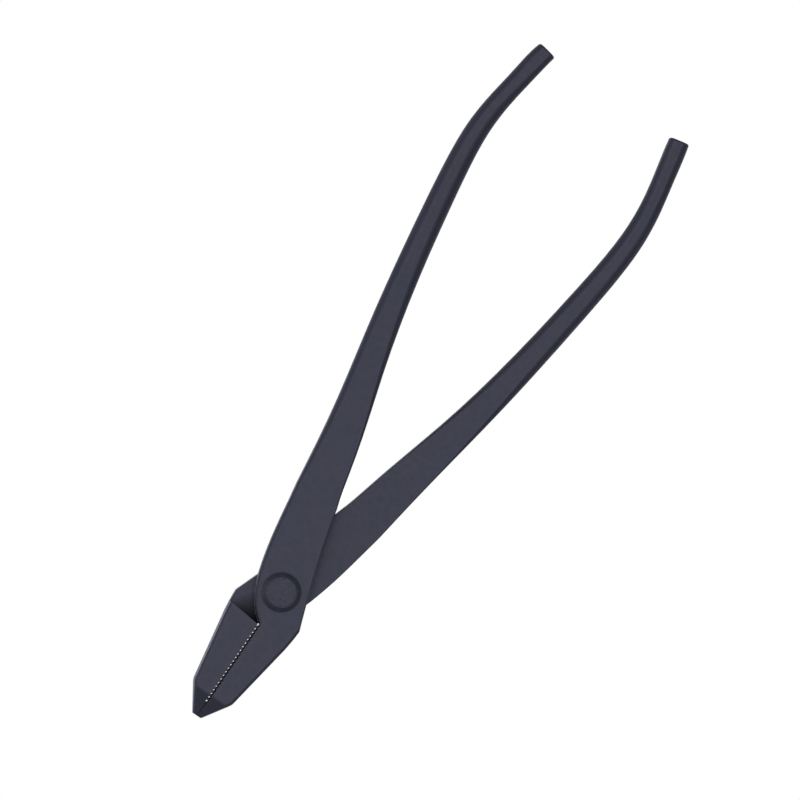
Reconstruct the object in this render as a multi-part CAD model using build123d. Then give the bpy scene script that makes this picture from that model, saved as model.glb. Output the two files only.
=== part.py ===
from build123d import *
import os
from math import atan2, cos, floor, radians, sin

# Bonsai jin pliers: two forged levers, the same forging turned over, crossed in a lap joint on one rivet.
#
# Frame (millimetres): the pliers lie flat. +Z is up, through their thickness, +Y runs along the tool to
# the handle ends, and +X is to the right, seen from above with the handles up. The origin is on the
# rivet's axis, in the flat face of the rivet's rear head, which is what the joint rests on.
# The front lever is the upper one: its handle is on the -X side and its jaw on the +X side. The rear
# lever lies under it the other way round. The jaws are closed.

# ---- overall sizes ----
handle_length = 167.6        # rivet axis to handle ends, along Y
jaw_length = 41.7            # rivet axis to jaw tips
lap_thickness = 5.5          # one lever at the joint; both together make the full thickness
lap_gap = 0.04               # running gap between the two lap faces
jaw_gap = 0.1                # gap between the closed jaws

# ---- jaws: half widths are measured from the meeting line, distances from the rivet axis ----
corner_half_width = 10.5     # the widest place, a corner beside the rivet
corner_distance = 6.4
cheek_half_width = 10.08     # in the middle of the bowed cheek
cheek_distance = 11.6
flank_half_width = 9.4       # where the straight flank starts
flank_distance = 15.8
taper_half_width = 6.35      # where the steep taper at the nose starts
taper_length = 8.0           # from there to the tip
nose_radius = 3.0            # of the outline, where flank and taper meet
tip_half_width = 1.4         # one jaw at the very tip
facet_length = 6.9           # facet ground on each face, measured back from the tip
tip_half_thickness = 2.3     # from the middle plane to a facet, at the very tip
ridge_radius = 2.0           # between face and facet
shoulder_outer = 9.95        # step from the lap face to the full jaw, at the cheek
shoulder_inner = 11.1        # and at the meeting line
jaw_round = 0.9              # rounded outer edges

# ---- teeth: V grooves straight across the meeting faces ----
tooth_pitch = 1.21
tooth_start = 11.3           # first groove
tooth_depth = 0.46
tooth_land = 0.1             # flat crest between two grooves
smooth_tip = 4.1             # plain meeting face at the tip

# ---- rivet and washer ----
shank_diameter = 7.0
bore_clearance = 0.04        # radial, shank in each lever's bore
peen_flare = 0.6             # the peened end spreads this much past the shank, each side
peen_height = 0.8            # height over which it spreads
peen_crown = 0.12            # it stands this much above its washer
washer_rim = 0.2             # flat ring left round the peened end
bevel_width = 1.3            # bevel on the washer and on the rear head
rim_height = 0.25            # upright rim under the bevel
washer_height = 1.15
washer_gap = 0.03            # under the washer, and between it and the rivet
head_height = 1.15           # rear head

# Hammer marks in the peened end: place across the end, and radius of the mark.
hammer_marks = [
    (1.0, -1.6, 0.35), (2.1, -1.3, 0.3), (2.0, -3.2, 0.35), (-3.4, -1.8, 0.4), (-2.5, 2.9, 0.6),
    (-1.4, 3.4, 0.45), (-3.3, 1.7, 0.4), (0.6, 1.3, 0.5), (2.7, 1.9, 0.4), (-0.9, -2.9, 0.45),
]
mark_depth = 0.05

# ---- joint boss and neck ----
boss_margin = 1.62           # metal round the washer at the waist of the boss
waist_angle = 207.0          # direction of the waist from the rivet axis, in degrees from +X
throat_distance = 10.9       # where the boss meets the meeting line, from the rivet axis
toe = (2.35, 1.9)            # boss edge beside the throat: out from the meeting line, up from the throat
heel = (1.7, 3.4)            # boss edge above the waist: out past the waist radius, and Y
neck_side = (4.47, 15.0)     # the same, half way up the neck
neck_middle = (4.0, 12.0)    # inner edge of the neck where it crosses the rivet's side: X and Y
neck_end = 28.0              # end of the flat neck, start of the drawn-out handle
neck_outer = 14.05           # outer edge of the neck at its end
neck_inner = 0.7             # inner edge of the neck at its end
outer_round = 1.0            # rounded outer edge of boss and neck
inner_round = 0.4            # inner edge of the neck
lap_round = 0.2              # broken edges of the lap face

# ---- handles ----
end_width = 5.75
end_thickness = 5.9
end_corner = 1.9
end_rim = 0.6                # rounded rim of the end face

# Sections of a handle. Each row: share of the way from the neck's end to the handle's end; width;
# thickness; how far the lap side still lies on the lap face, from 1 there to 0 for a section centred on
# the middle plane; corner radii on the outer face, outside then inside, and on the lap side.
handle_rows = [
    (0.08, 11.9, 5.5, 1.0, 1.4, 0.5, 0.25),
    (0.18, 10.45, 5.45, 0.97, 1.8, 0.8, 0.4),
    (0.28, 9.15, 5.4, 0.88, 2.0, 1.3, 0.9),
    (0.38, 8.35, 5.4, 0.74, 2.15, 1.8, 1.6),
    (0.50, 7.7, 5.45, 0.52, 2.4, 2.4, 2.1),
    (0.62, 7.3, 5.5, 0.3, 2.5, 2.6, 2.3),
    (0.72, 6.9, 5.6, 0.14, 2.5, 2.6, 2.4),
    (0.79, 6.5, 5.7, 0.06, 2.4, 2.5, 2.35),
    (0.86, 6.05, 5.8, 0.02, 2.2, 2.3, 2.1),
    (0.93, 5.95, 5.85, 0.0, 1.9, 1.9, 1.9),
]
# Centre line of each handle at those rows and then at its end, out from the tool's middle. The handles
# were bent by hand: the rear one leaves the joint a little wider and ends a little further in.
front_sweep = [8.95, 11.87, 15.24, 18.4, 21.58, 24.29, 26.2, 26.9, 26.32, 24.84, 23.05]
rear_sweep = [10.46, 13.57, 16.77, 19.56, 22.31, 24.65, 26.22, 26.6, 25.77, 23.95, 21.95]
front_splay = -0.6           # outward shift of the neck's end, growing from none at the rivet
rear_splay = 0.6

# ---- worked out from the above ----
peen_radius = shank_diameter / 2 + peen_flare
disc_radius = peen_radius + washer_rim + bevel_width    # washer and rear head
waist_radius = disc_radius + boss_margin
bore_radius = shank_diameter / 2 + bore_clearance
lap_face = lap_gap / 2                          # lap face, above the middle plane
outer_face = lap_face + lap_thickness           # outer face, above the middle plane
middle_z = head_height + outer_face             # middle plane, above the resting plane
front_z = middle_z + outer_face                 # front lever's outer face, above the resting plane
meeting_x = jaw_gap / 2                         # meeting face of a jaw
reach = 100.0                                   # how far cutting solids run past the piece
overshoot = 2.0                                 # the same, for small cuts


def edge_at(body, x, y, z):
    """The edge of a body that passes nearest to a point."""
    return body.edges().sort_by_distance((x, y, z))[0]


# ---- lever, built about the middle plane with its outer face up, handle on -X and jaw on +X ----

def plan_points(splay):
    """The corners and curve points of a lever's plan, up to the end of its neck."""
    turn = radians(waist_angle)

    def spread(y):
        return splay * y / neck_end

    return {
        "throat": (meeting_x, -throat_distance),
        "tip_inner": (meeting_x, -jaw_length),
        "tip_outer": (tip_half_width, -jaw_length),
        "nose": (taper_half_width, taper_length - jaw_length),
        "flank": (flank_half_width, -flank_distance),
        "cheek": (cheek_half_width, -cheek_distance),
        "corner": (corner_half_width, -corner_distance),
        "neck_middle": (neck_middle[0] - spread(neck_middle[1]), neck_middle[1]),
        "neck_inner": (-neck_inner - splay, neck_end),
        "neck_outer": (-neck_outer - splay, neck_end),
        "neck_side": (-waist_radius - neck_side[0] - spread(neck_side[1]), neck_side[1]),
        "heel": (-waist_radius - heel[0] - spread(heel[1]), heel[1]),
        "waist": (waist_radius * cos(turn), waist_radius * sin(turn)),
        "toe": (-toe[0], toe[1] - throat_distance),
    }


def lever_plan(at):
    """Plan face of a lever from the jaw's tip to the end of the neck."""
    nose = FilletPolyline(at["tip_outer"], at["nose"], at["flank"], radius=nose_radius)
    return make_face([
        Line(at["throat"], at["tip_inner"]),
        Line(at["tip_inner"], at["tip_outer"]),
        *nose.edges(),
        ThreePointArc(at["flank"], at["cheek"], at["corner"]),
        ThreePointArc(at["corner"], at["neck_middle"], at["neck_inner"]),
        Line(at["neck_inner"], at["neck_outer"]),
        Spline(at["neck_outer"], at["neck_side"], at["heel"], at["waist"], at["toe"], at["throat"]),
    ])


def above_shoulder():
    """Everything on the handle side of the shoulder step."""
    slope = (shoulder_inner - shoulder_outer) / corner_half_width
    left = (-reach, -shoulder_inner - slope * reach)
    right = (reach, -shoulder_inner + slope * reach)
    outline = Polyline(left, right, (reach, reach), (-reach, reach), close=True)
    return extrude(make_face(outline), reach, both=True)


def facet_height(y):
    """Height of the tip's ground facet above the middle plane."""
    fall = (outer_face - tip_half_thickness) / facet_length
    return outer_face - fall * (facet_length - jaw_length - y)


def tip_facets():
    """The wedges ground off both faces of a jaw towards its tip."""
    start = facet_length - jaw_length
    end = -jaw_length - overshoot
    top = outer_face + overshoot
    side = Polyline((start, outer_face), (end, facet_height(end)), (end, top), (start, top), close=True)
    wedge = extrude(Plane.YZ * make_face(side), reach, both=True)
    return wedge + mirror(wedge, Plane.XY)


def jaw_rim(body, side):
    """The outer edges of one face of a jaw: cheek, flank, taper and facet. side is 1 or -1."""
    slope = (taper_half_width - tip_half_width) / taper_length
    taper_middle = (facet_length + taper_length) / 2
    facet_middle = facet_length / 2
    flank_x = (flank_half_width + taper_half_width) / 2
    flank_y = (taper_length - jaw_length - flank_distance) / 2
    points = [
        (cheek_half_width, -cheek_distance, outer_face),
        (flank_x, flank_y, outer_face),
        (tip_half_width + slope * taper_middle, taper_middle - jaw_length, outer_face),
        (tip_half_width + slope * facet_middle, facet_middle - jaw_length,
         facet_height(facet_middle - jaw_length)),
    ]
    return [edge_at(body, x, y, side * z) for x, y, z in points]


def tooth_grooves():
    """V grooves through the jaw's meeting face, from the joint to the smooth tip."""
    count = floor((jaw_length - smooth_tip - tooth_start) / tooth_pitch) + 1
    mouth = (tooth_pitch - tooth_land) / 2
    outline = Polyline((-overshoot, -mouth), (meeting_x, -mouth), (meeting_x + tooth_depth, 0),
                       (meeting_x, mouth), (-overshoot, mouth), close=True)
    groove = extrude(make_face(outline), reach, both=True)
    return [Pos(0, -tooth_start - i * tooth_pitch, 0) * groove for i in range(count)]


def handle_section(place, turn, width, thickness, outside, inside, lap):
    """Rounded rectangle across a handle. turn is the handle's direction, from +Y towards -X."""
    x = width / 2
    z = thickness / 2
    plane = Plane(origin=place, x_dir=(cos(turn), sin(turn), 0), z_dir=(sin(turn), -cos(turn), 0))
    corners = [(-x, z), (x, z), (x, -z), (-x, -z)]
    return plane * make_face(FilletPolyline(*corners, radius=[outside, inside, lap, lap], close=True))


def handle(neck_face, sweep):
    """The drawn-out handle: flat at the neck, nearly round further out, turned in at its end."""
    length = handle_length - neck_end
    sections = [neck_face]
    for row, x in zip(handle_rows, sweep):
        share, width, thickness, offset, outside, inside, lap = row
        z = offset * (lap_face + thickness / 2)
        place = (-x, neck_end + share * length, z)
        sections.append(handle_section(place, 0, width, thickness, outside, inside, lap))
    last_share = handle_rows[-1][0]
    turn = atan2(sweep[-1] - sweep[-2], (1 - last_share) * length)
    place = (-sweep[-1], handle_length, 0)
    end = handle_section(place, turn, end_width, end_thickness, end_corner, end_corner, end_corner)
    return loft([*sections, end])


def lever(splay, sweep):
    """One forged lever with its bore and teeth."""
    at = plan_points(splay)
    plan = lever_plan(at)
    body = extrude(Pos(0, 0, lap_face) * plan, lap_thickness)
    body += extrude(Pos(0, 0, -outer_face) * plan, outer_face + lap_face) - above_shoulder()
    body -= tip_facets()
    for side in (1, -1):
        ridge = edge_at(body, tip_half_width, facet_length - jaw_length, side * outer_face)
        body = fillet(ridge, ridge_radius)
        body = fillet(jaw_rim(body, side), jaw_round)
    body = fillet(edge_at(body, *at["neck_middle"], outer_face), inner_round)
    body = fillet(edge_at(body, *at["waist"], outer_face), outer_round)
    body = fillet(edge_at(body, *at["waist"], lap_face), lap_round)
    body = fillet(edge_at(body, *at["neck_middle"], lap_face), lap_round)
    body += handle(body.faces().sort_by(Axis.Y)[-1], sweep)
    body = fillet(body.faces().sort_by(Axis.Y)[-1].edges(), end_rim)
    body -= tooth_grooves()
    return body - Cylinder(bore_radius, reach)


# ---- rivet and washer, in the tool's own frame ----

def peen_base():
    """Height at which the rivet's end starts to spread."""
    return front_z + washer_gap + washer_height - peen_height


def rivet():
    """Bevelled rear head, shank, and the end hammered over into the washer."""
    shank = shank_diameter / 2
    crown_z = peen_base() + peen_height + peen_crown
    half = Polyline(
        (0, 0), (disc_radius - bevel_width, 0),
        (disc_radius, head_height - rim_height), (disc_radius, head_height),
        (shank, head_height), (shank, peen_base()),
        (peen_radius, peen_base() + peen_height), (peen_radius - peen_crown, crown_z),
        (0, crown_z), close=True)
    body = revolve(Plane.XZ * make_face(half), Axis.Z)
    for x, y, radius in hammer_marks:
        ball = (radius ** 2 + mark_depth ** 2) / (2 * mark_depth)
        body -= Pos(x, y, crown_z + ball - mark_depth) * Sphere(ball)
    return body


def washer():
    """Bevelled ring on the front lever, countersunk for the rivet's end."""
    bore = shank_diameter / 2 + washer_gap
    low = front_z + washer_gap
    high = low + washer_height
    half = Polyline(
        (bore, low), (disc_radius, low),
        (disc_radius, low + rim_height), (disc_radius - bevel_width, high),
        (peen_radius + washer_gap, high), (bore, peen_base()), close=True)
    return revolve(Plane.XZ * make_face(half), Axis.Z)


def build():
    """Every node of the pliers, by name."""
    middle = Pos(0, 0, middle_z)
    return {
        "front_lever": middle * lever(front_splay, front_sweep),
        "rear_lever": middle * Rot(0, 180, 0) * lever(rear_splay, rear_sweep),
        "pivot_rivet": rivet(),
        "rivet_washer": washer(),
    }


os.makedirs("parts", exist_ok=True)
for node, piece in build().items():
    export_step(piece, f"parts/{node}.step")
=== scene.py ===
"""Bonsai jin pliers in blue-black oxidised steel.

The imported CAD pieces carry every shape. This script adds their finish, the floor, the light and the camera.
"""
import math

import bpy
from mathutils import Matrix, Vector


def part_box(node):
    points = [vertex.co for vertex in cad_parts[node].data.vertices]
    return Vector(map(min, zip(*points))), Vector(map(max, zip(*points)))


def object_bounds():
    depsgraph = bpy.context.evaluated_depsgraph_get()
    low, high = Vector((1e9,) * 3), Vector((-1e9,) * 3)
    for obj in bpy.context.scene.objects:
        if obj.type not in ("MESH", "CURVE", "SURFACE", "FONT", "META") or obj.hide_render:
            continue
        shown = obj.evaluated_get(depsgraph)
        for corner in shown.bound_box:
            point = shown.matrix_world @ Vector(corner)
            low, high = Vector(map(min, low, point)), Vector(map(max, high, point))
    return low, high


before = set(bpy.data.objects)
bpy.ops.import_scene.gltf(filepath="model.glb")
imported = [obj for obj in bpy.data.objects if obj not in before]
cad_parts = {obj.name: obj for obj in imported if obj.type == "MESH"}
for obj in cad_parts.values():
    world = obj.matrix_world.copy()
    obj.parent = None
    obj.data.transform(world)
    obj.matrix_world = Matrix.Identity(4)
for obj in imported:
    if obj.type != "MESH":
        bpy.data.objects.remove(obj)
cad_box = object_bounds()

MM = 0.001

# ---- finish ----
BLUE_OXIDE = (0.0285, 0.0308, 0.0465, 1)    # the oxide's usual tone
PURPLE_OXIDE = (0.0315, 0.0308, 0.0455, 1)  # faint warmer patches in it
WORN_STEEL = (0.085, 0.090, 0.105, 1)       # rubbed edges and bright specks
DARK_OXIDE = (0.012, 0.012, 0.016, 1)       # mixed in to darken the oxide
PAINTED_SHADE = (0.002, 0.002, 0.003, 1)            # painted shade, near black, in the pocket and along the meeting line of the jaws
METALLIC = 0.8
SHEEN = 0.06                                # lightens the oxide where it is seen edge-on
SHEEN_ROUGHNESS = 0.35
ROUGHNESS = (0.50, 0.54)                    # from the smoothest to the dullest of the oxide
PAINTED_SHADE_ROUGHNESS = 0.3                       # added to it where the shade is painted

# ---- texture: how large each pattern is, and the noise values between which it fades in ----
PATCH_SIZE = 7 * MM
PATCH_FADE = (0.38, 0.66)
CLOUD_SIZE = 1.6 * MM                       # the clouds dull and darken the oxide
CLOUD_FADE = (0.3, 0.7)
CLOUD_DEPTH = 0.06                          # the share of dark oxide that the clouds add
SPECK_SIZE = 0.55 * MM
SPECK_FADE = (0.74, 0.80)
GRAIN_SIZE = 0.32 * MM
STREAK_SIZE = 0.35 * MM
STREAK_SCALE = (1, 0.06, 1)                 # Y counts little, which draws the pattern out along the tool
EDGE_RADIUS = 0.35 * MM                     # how far from an edge the wear reaches
EDGE_SAMPLES = 6
EDGE_FADE = (0.995, 0.9)                    # cosine of the bend at which wear starts, and is full
WEAR_FADE = (0.4, 0.62)                     # the clouds also break the wear up

# ---- painted shade in the pocket and along the jaws' meeting line ----
THROAT = (0.0, -11.0 * MM, 6.7 * MM)        # bottom of the pocket between the levers, where the painted shade is darkest
POCKET_REACH = 9.5 * MM                     # how far it fades out along the pocket's floor
POCKET_SCALE = (1, 1, 3)                    # heights count three times, which keeps it low in the pocket
MEETING_REACH = (0.1 * MM, 0.32 * MM)       # how far it fades out beside the line where the jaws meet
MEETING_START = 1 * MM                      # the length before the throat over which that line fades in
MEETING_SHADE = 0.8                         # the painted shade's strength along that line

# ---- light ----
WHITE = (1, 1, 1, 1)
LAMP_FROM = (-0.10, -0.04, 1.0)             # the main lamp's direction from the tool
LAMP_DISTANCE = 2.4
LAMP_SIZE = 1.9
LAMP_WATTS = 34.0
SIDE_FROM = (-0.83, -0.50, 0.75)            # the side lamp's direction from the tool
SIDE_DISTANCE = 1.6
SIDE_SIZE = 1.3
SIDE_WATTS = 5.5
ROOM_LOW = 0.95                             # the room's brightness at the horizon
ROOM_HIGH = 0.30                            # and higher up, round the main lamp
ROOM_RISE = 0.7                             # the sine of the height at which ROOM_HIGH is reached
ROOM_BLUE = 1.06                            # how much stronger the room's blue is than its red and green
FLOOR_TONE = (0.76, 0.79, 0.86, 1)          # as the metal sees it; the camera sees white
FLOOR_GLOW = 0.25                           # how strongly it also glows in that tone
FLOOR_SIZE = 8.0
FLOOR_DROP = 0.5 * MM                       # the floor's depth below the tool

# ---- camera ----
CAMERA_DISTANCE = 2.0
CAMERA_LEAN = (-0.062, -0.036)              # how far the camera stands to +X and +Y, per unit of height
LENGTH_ANGLE = math.radians(55.84)          # the tool's +Y above the picture's horizontal
PICTURE_WIDTH = 223.5 * MM                  # at the front lever's top face
PICTURE_SHIFT = (-2.52 * MM, -0.12 * MM)    # picture centre from the middle of the tool's box
NEAREST = 0.01                              # what the camera shows lies between these two distances
FARTHEST = 100.0


class Tree:
    """A node tree that is built by naming each node's kind, settings and inputs."""

    def __init__(self, owner):
        owner.use_nodes = True
        self.nodes = owner.node_tree.nodes
        self.links = owner.node_tree.links
        self.nodes.clear()

    def add(self, kind, inputs=None, **settings):
        node = self.nodes.new("ShaderNode" + kind)
        for name, value in settings.items():
            setattr(node, name, value)
        for name, value in (inputs or {}).items():
            if isinstance(value, bpy.types.NodeSocket):
                self.links.new(value, node.inputs[name])
            else:
                node.inputs[name].default_value = value
        return node

    def noise(self, place, size, detail=3.0, roughness=0.55):
        """Noise whose blotches are about size across, in metres."""
        inputs = {"Vector": place, "Scale": 1 / size, "Detail": detail, "Roughness": roughness}
        return self.add("TexNoise", inputs).outputs["Fac"]

    def stretch(self, value, low, high, new_low=0.0, new_high=1.0):
        """value moved from low..high to new_low..new_high, and kept within it."""
        inputs = {"Value": value, "From Min": low, "From Max": high, "To Min": new_low, "To Max": new_high}
        return self.add("MapRange", inputs).outputs["Result"]

    def math(self, operation, a, b):
        return self.add("Math", {0: a, 1: b}, operation=operation).outputs["Value"]

    def mix(self, share, a, b):
        """Colour a where share is 0, and b where it is 1."""
        node = self.add("Mix", data_type="RGBA")
        sockets = {s.identifier: s for s in node.inputs}
        for name, value in (("Factor_Float", share), ("A_Color", a), ("B_Color", b)):
            if isinstance(value, bpy.types.NodeSocket):
                self.links.new(value, sockets[name])
            else:
                sockets[name].default_value = value
        return next(s for s in node.outputs if s.identifier == "Result_Color")


def edge_mask(tree):
    """1 on crisp edges and 0 on flat metal."""
    bevel = tree.add("Bevel", {"Radius": EDGE_RADIUS}, samples=EDGE_SAMPLES)
    true_normal = tree.add("NewGeometry").outputs["Normal"]
    dot = tree.add("VectorMath", {0: bevel.outputs["Normal"], 1: true_normal}, operation="DOT_PRODUCT")
    return tree.stretch(dot.outputs["Value"], *EDGE_FADE)


def painted_shade_mask(tree, place):
    """Painted shade: 1 in the pocket at the throat and along the meeting line of the jaws, and 0 elsewhere.
    """
    spot = tree.add("VectorMath", {0: place, 1: POCKET_SCALE}, operation="MULTIPLY").outputs["Vector"]
    throat = tuple(a * b for a, b in zip(THROAT, POCKET_SCALE))
    away = tree.add("VectorMath", {0: spot, 1: throat}, operation="DISTANCE").outputs["Value"]
    pocket = tree.stretch(away, 0.0, POCKET_REACH, 1.0, 0.0)
    axes = tree.add("SeparateXYZ", {"Vector": place}).outputs
    beside = tree.stretch(tree.math("ABSOLUTE", axes["X"], 0.0), *MEETING_REACH, 1.0, 0.0)
    below = tree.stretch(axes["Y"], THROAT[1] + MEETING_START, THROAT[1], 0.0, MEETING_SHADE)
    return tree.math("MAXIMUM", pocket, tree.math("MULTIPLY", beside, below))


def oxide_steel(name, grain, darkness, wear, specks, streaks):
    """Blue-black oxide over steel.

    grain is the depth of its fine texture, in metres. The rest are shares: darkness is how much dark oxide
    is mixed in everywhere, wear is how bare the edges are, specks how bare the small dots, and streaks how
    much the fine texture runs along the tool.
    """
    material = bpy.data.materials.new(name)
    tree = Tree(material)
    place = tree.add("TexCoord").outputs["Object"]

    patches = tree.stretch(tree.noise(place, PATCH_SIZE, detail=4.0), *PATCH_FADE)
    cloud = tree.noise(place, CLOUD_SIZE, detail=5.0, roughness=0.6)
    fine = tree.noise(place, GRAIN_SIZE, detail=2.0)
    lengthwise = tree.add("Mapping", {"Vector": place, "Scale": STREAK_SCALE}).outputs["Vector"]
    lines = tree.noise(lengthwise, STREAK_SIZE, detail=2.0)

    colour = tree.mix(patches, BLUE_OXIDE, PURPLE_OXIDE)
    shade = tree.stretch(cloud, *CLOUD_FADE, darkness, darkness + CLOUD_DEPTH)
    colour = tree.mix(shade, colour, DARK_OXIDE)
    # painted shade: the pocket at the throat and the jaws' meeting line turn near black, as if in shade
    painted_shade = painted_shade_mask(tree, place)
    colour = tree.mix(painted_shade, colour, PAINTED_SHADE)
    edge = tree.math("MULTIPLY", edge_mask(tree), tree.stretch(cloud, *WEAR_FADE))
    colour = tree.mix(tree.math("MULTIPLY", edge, wear), colour, WORN_STEEL)
    dots = tree.stretch(tree.noise(place, SPECK_SIZE, detail=0.0), *SPECK_FADE)
    colour = tree.mix(tree.math("MULTIPLY", dots, specks), colour, WORN_STEEL)

    dull = tree.stretch(cloud, *CLOUD_FADE, *ROUGHNESS)
    # where the shade is painted the oxide is also made rougher
    rough = tree.math("ADD", dull, tree.math("MULTIPLY", painted_shade, PAINTED_SHADE_ROUGHNESS))
    height = tree.math("ADD", tree.math("MULTIPLY", lines, streaks), fine)
    bump = tree.add("Bump", {"Height": height, "Distance": grain, "Strength": 1.0})

    shader = tree.add("BsdfPrincipled", {
        "Base Color": colour,
        "Metallic": METALLIC,
        "Roughness": rough,
        "Sheen Weight": SHEEN,
        "Sheen Roughness": SHEEN_ROUGHNESS,
        "Normal": bump.outputs["Normal"],
    })
    output = tree.add("OutputMaterial")
    tree.links.new(shader.outputs["BSDF"], output.inputs["Surface"])
    return material


def paint(node, material):
    """Gives a CAD node this material in every slot."""
    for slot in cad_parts[node].material_slots:
        slot.material = material


def finish_metal():
    """One oxide for the two levers, and a darker, speckled one for the rivet and its washer."""
    lever_steel = oxide_steel(
        "lever_oxide", grain=0.010 * MM, darkness=0.0, wear=0.5, specks=0.0, streaks=0.6)
    rivet_steel = oxide_steel(
        "rivet_oxide", grain=0.012 * MM, darkness=0.12, wear=0.3, specks=0.5, streaks=0.0)
    for node in ("front_lever", "rear_lever"):
        paint(node, lever_steel)
    for node in ("pivot_rivet", "rivet_washer"):
        paint(node, rivet_steel)


def make_floor():
    """A pale table just under the tool, plain white to the camera, so that no shadow darkens the ground."""
    bpy.ops.mesh.primitive_plane_add(size=FLOOR_SIZE, location=(0, 0, cad_box[0].z - FLOOR_DROP))
    floor = bpy.context.object
    floor.name = "floor"
    material = bpy.data.materials.new("pale_floor")
    tree = Tree(material)
    seen = tree.add("LightPath").outputs["Is Camera Ray"]
    lit = tree.add("BsdfPrincipled", {
        "Base Color": FLOOR_TONE,
        "Roughness": 1.0,
        "Emission Color": FLOOR_TONE,
        "Emission Strength": FLOOR_GLOW,
    })
    white = tree.add("Emission", {"Color": WHITE, "Strength": 1.0})
    ground = tree.add("MixShader", {0: seen, 1: lit.outputs["BSDF"], 2: white.outputs["Emission"]})
    output = tree.add("OutputMaterial")
    tree.links.new(ground.outputs["Shader"], output.inputs["Surface"])
    floor.data.materials.append(material)


def make_lamp(name, direction, distance, size, watts):
    """A round soft lamp that faces the middle of the tool from this direction."""
    data = bpy.data.lights.new(name, "AREA")
    data.shape = "DISK"
    data.size = size
    data.energy = watts
    lamp = bpy.data.objects.new(name, data)
    away = Vector(direction).normalized()
    lamp.location = (cad_box[0] + cad_box[1]) / 2 + away * distance
    lamp.rotation_euler = away.to_track_quat("Z", "Y").to_euler()
    bpy.context.scene.collection.objects.link(lamp)


def make_light():
    """Two soft lamps, overhead and to the side, in a grey room that is plain white to the camera."""
    make_lamp("overhead", LAMP_FROM, LAMP_DISTANCE, LAMP_SIZE, LAMP_WATTS)
    make_lamp("side", SIDE_FROM, SIDE_DISTANCE, SIDE_SIZE, SIDE_WATTS)

    world = bpy.data.worlds.new("room")
    bpy.context.scene.world = world
    tree = Tree(world)
    seen = tree.add("LightPath").outputs["Is Camera Ray"]
    place = tree.add("TexCoord").outputs["Generated"]
    height = tree.add("SeparateXYZ", {"Vector": place}).outputs["Z"]
    low = (ROOM_LOW, ROOM_LOW, ROOM_LOW * ROOM_BLUE, 1)
    high = (ROOM_HIGH, ROOM_HIGH, ROOM_HIGH * ROOM_BLUE, 1)
    room = tree.mix(tree.stretch(height, 0.0, ROOM_RISE), low, high)
    background = tree.add("Background", {"Color": tree.mix(seen, room, WHITE)})
    output = tree.add("OutputWorld")
    tree.links.new(background.outputs["Background"], output.inputs["Surface"])


def make_camera():
    """A long lens almost straight above, with the tool's length at an angle across the picture."""
    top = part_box("front_lever")[1].z
    middle = (cad_box[0] + cad_box[1]) / 2
    target = Vector((middle.x + PICTURE_SHIFT[0], middle.y + PICTURE_SHIFT[1], top))
    back = Vector((*CAMERA_LEAN, 1)).normalized()
    across = math.pi / 2 - LENGTH_ANGLE
    up_hint = Vector((-math.sin(across), math.cos(across), 0))
    right = up_hint.cross(back).normalized()
    up = back.cross(right)
    turn = Matrix((right, up, back)).transposed()

    data = bpy.data.cameras.new("camera")
    data.lens = data.sensor_width * CAMERA_DISTANCE / PICTURE_WIDTH
    data.clip_start = NEAREST
    data.clip_end = FARTHEST
    camera = bpy.data.objects.new("camera", data)
    camera.matrix_world = Matrix.Translation(target + back * CAMERA_DISTANCE) @ turn.to_4x4()
    bpy.context.scene.collection.objects.link(camera)
    bpy.context.scene.camera = camera


finish_metal()
make_floor()
make_light()
make_camera()
bpy.context.scene.view_settings.view_transform = "Standard"
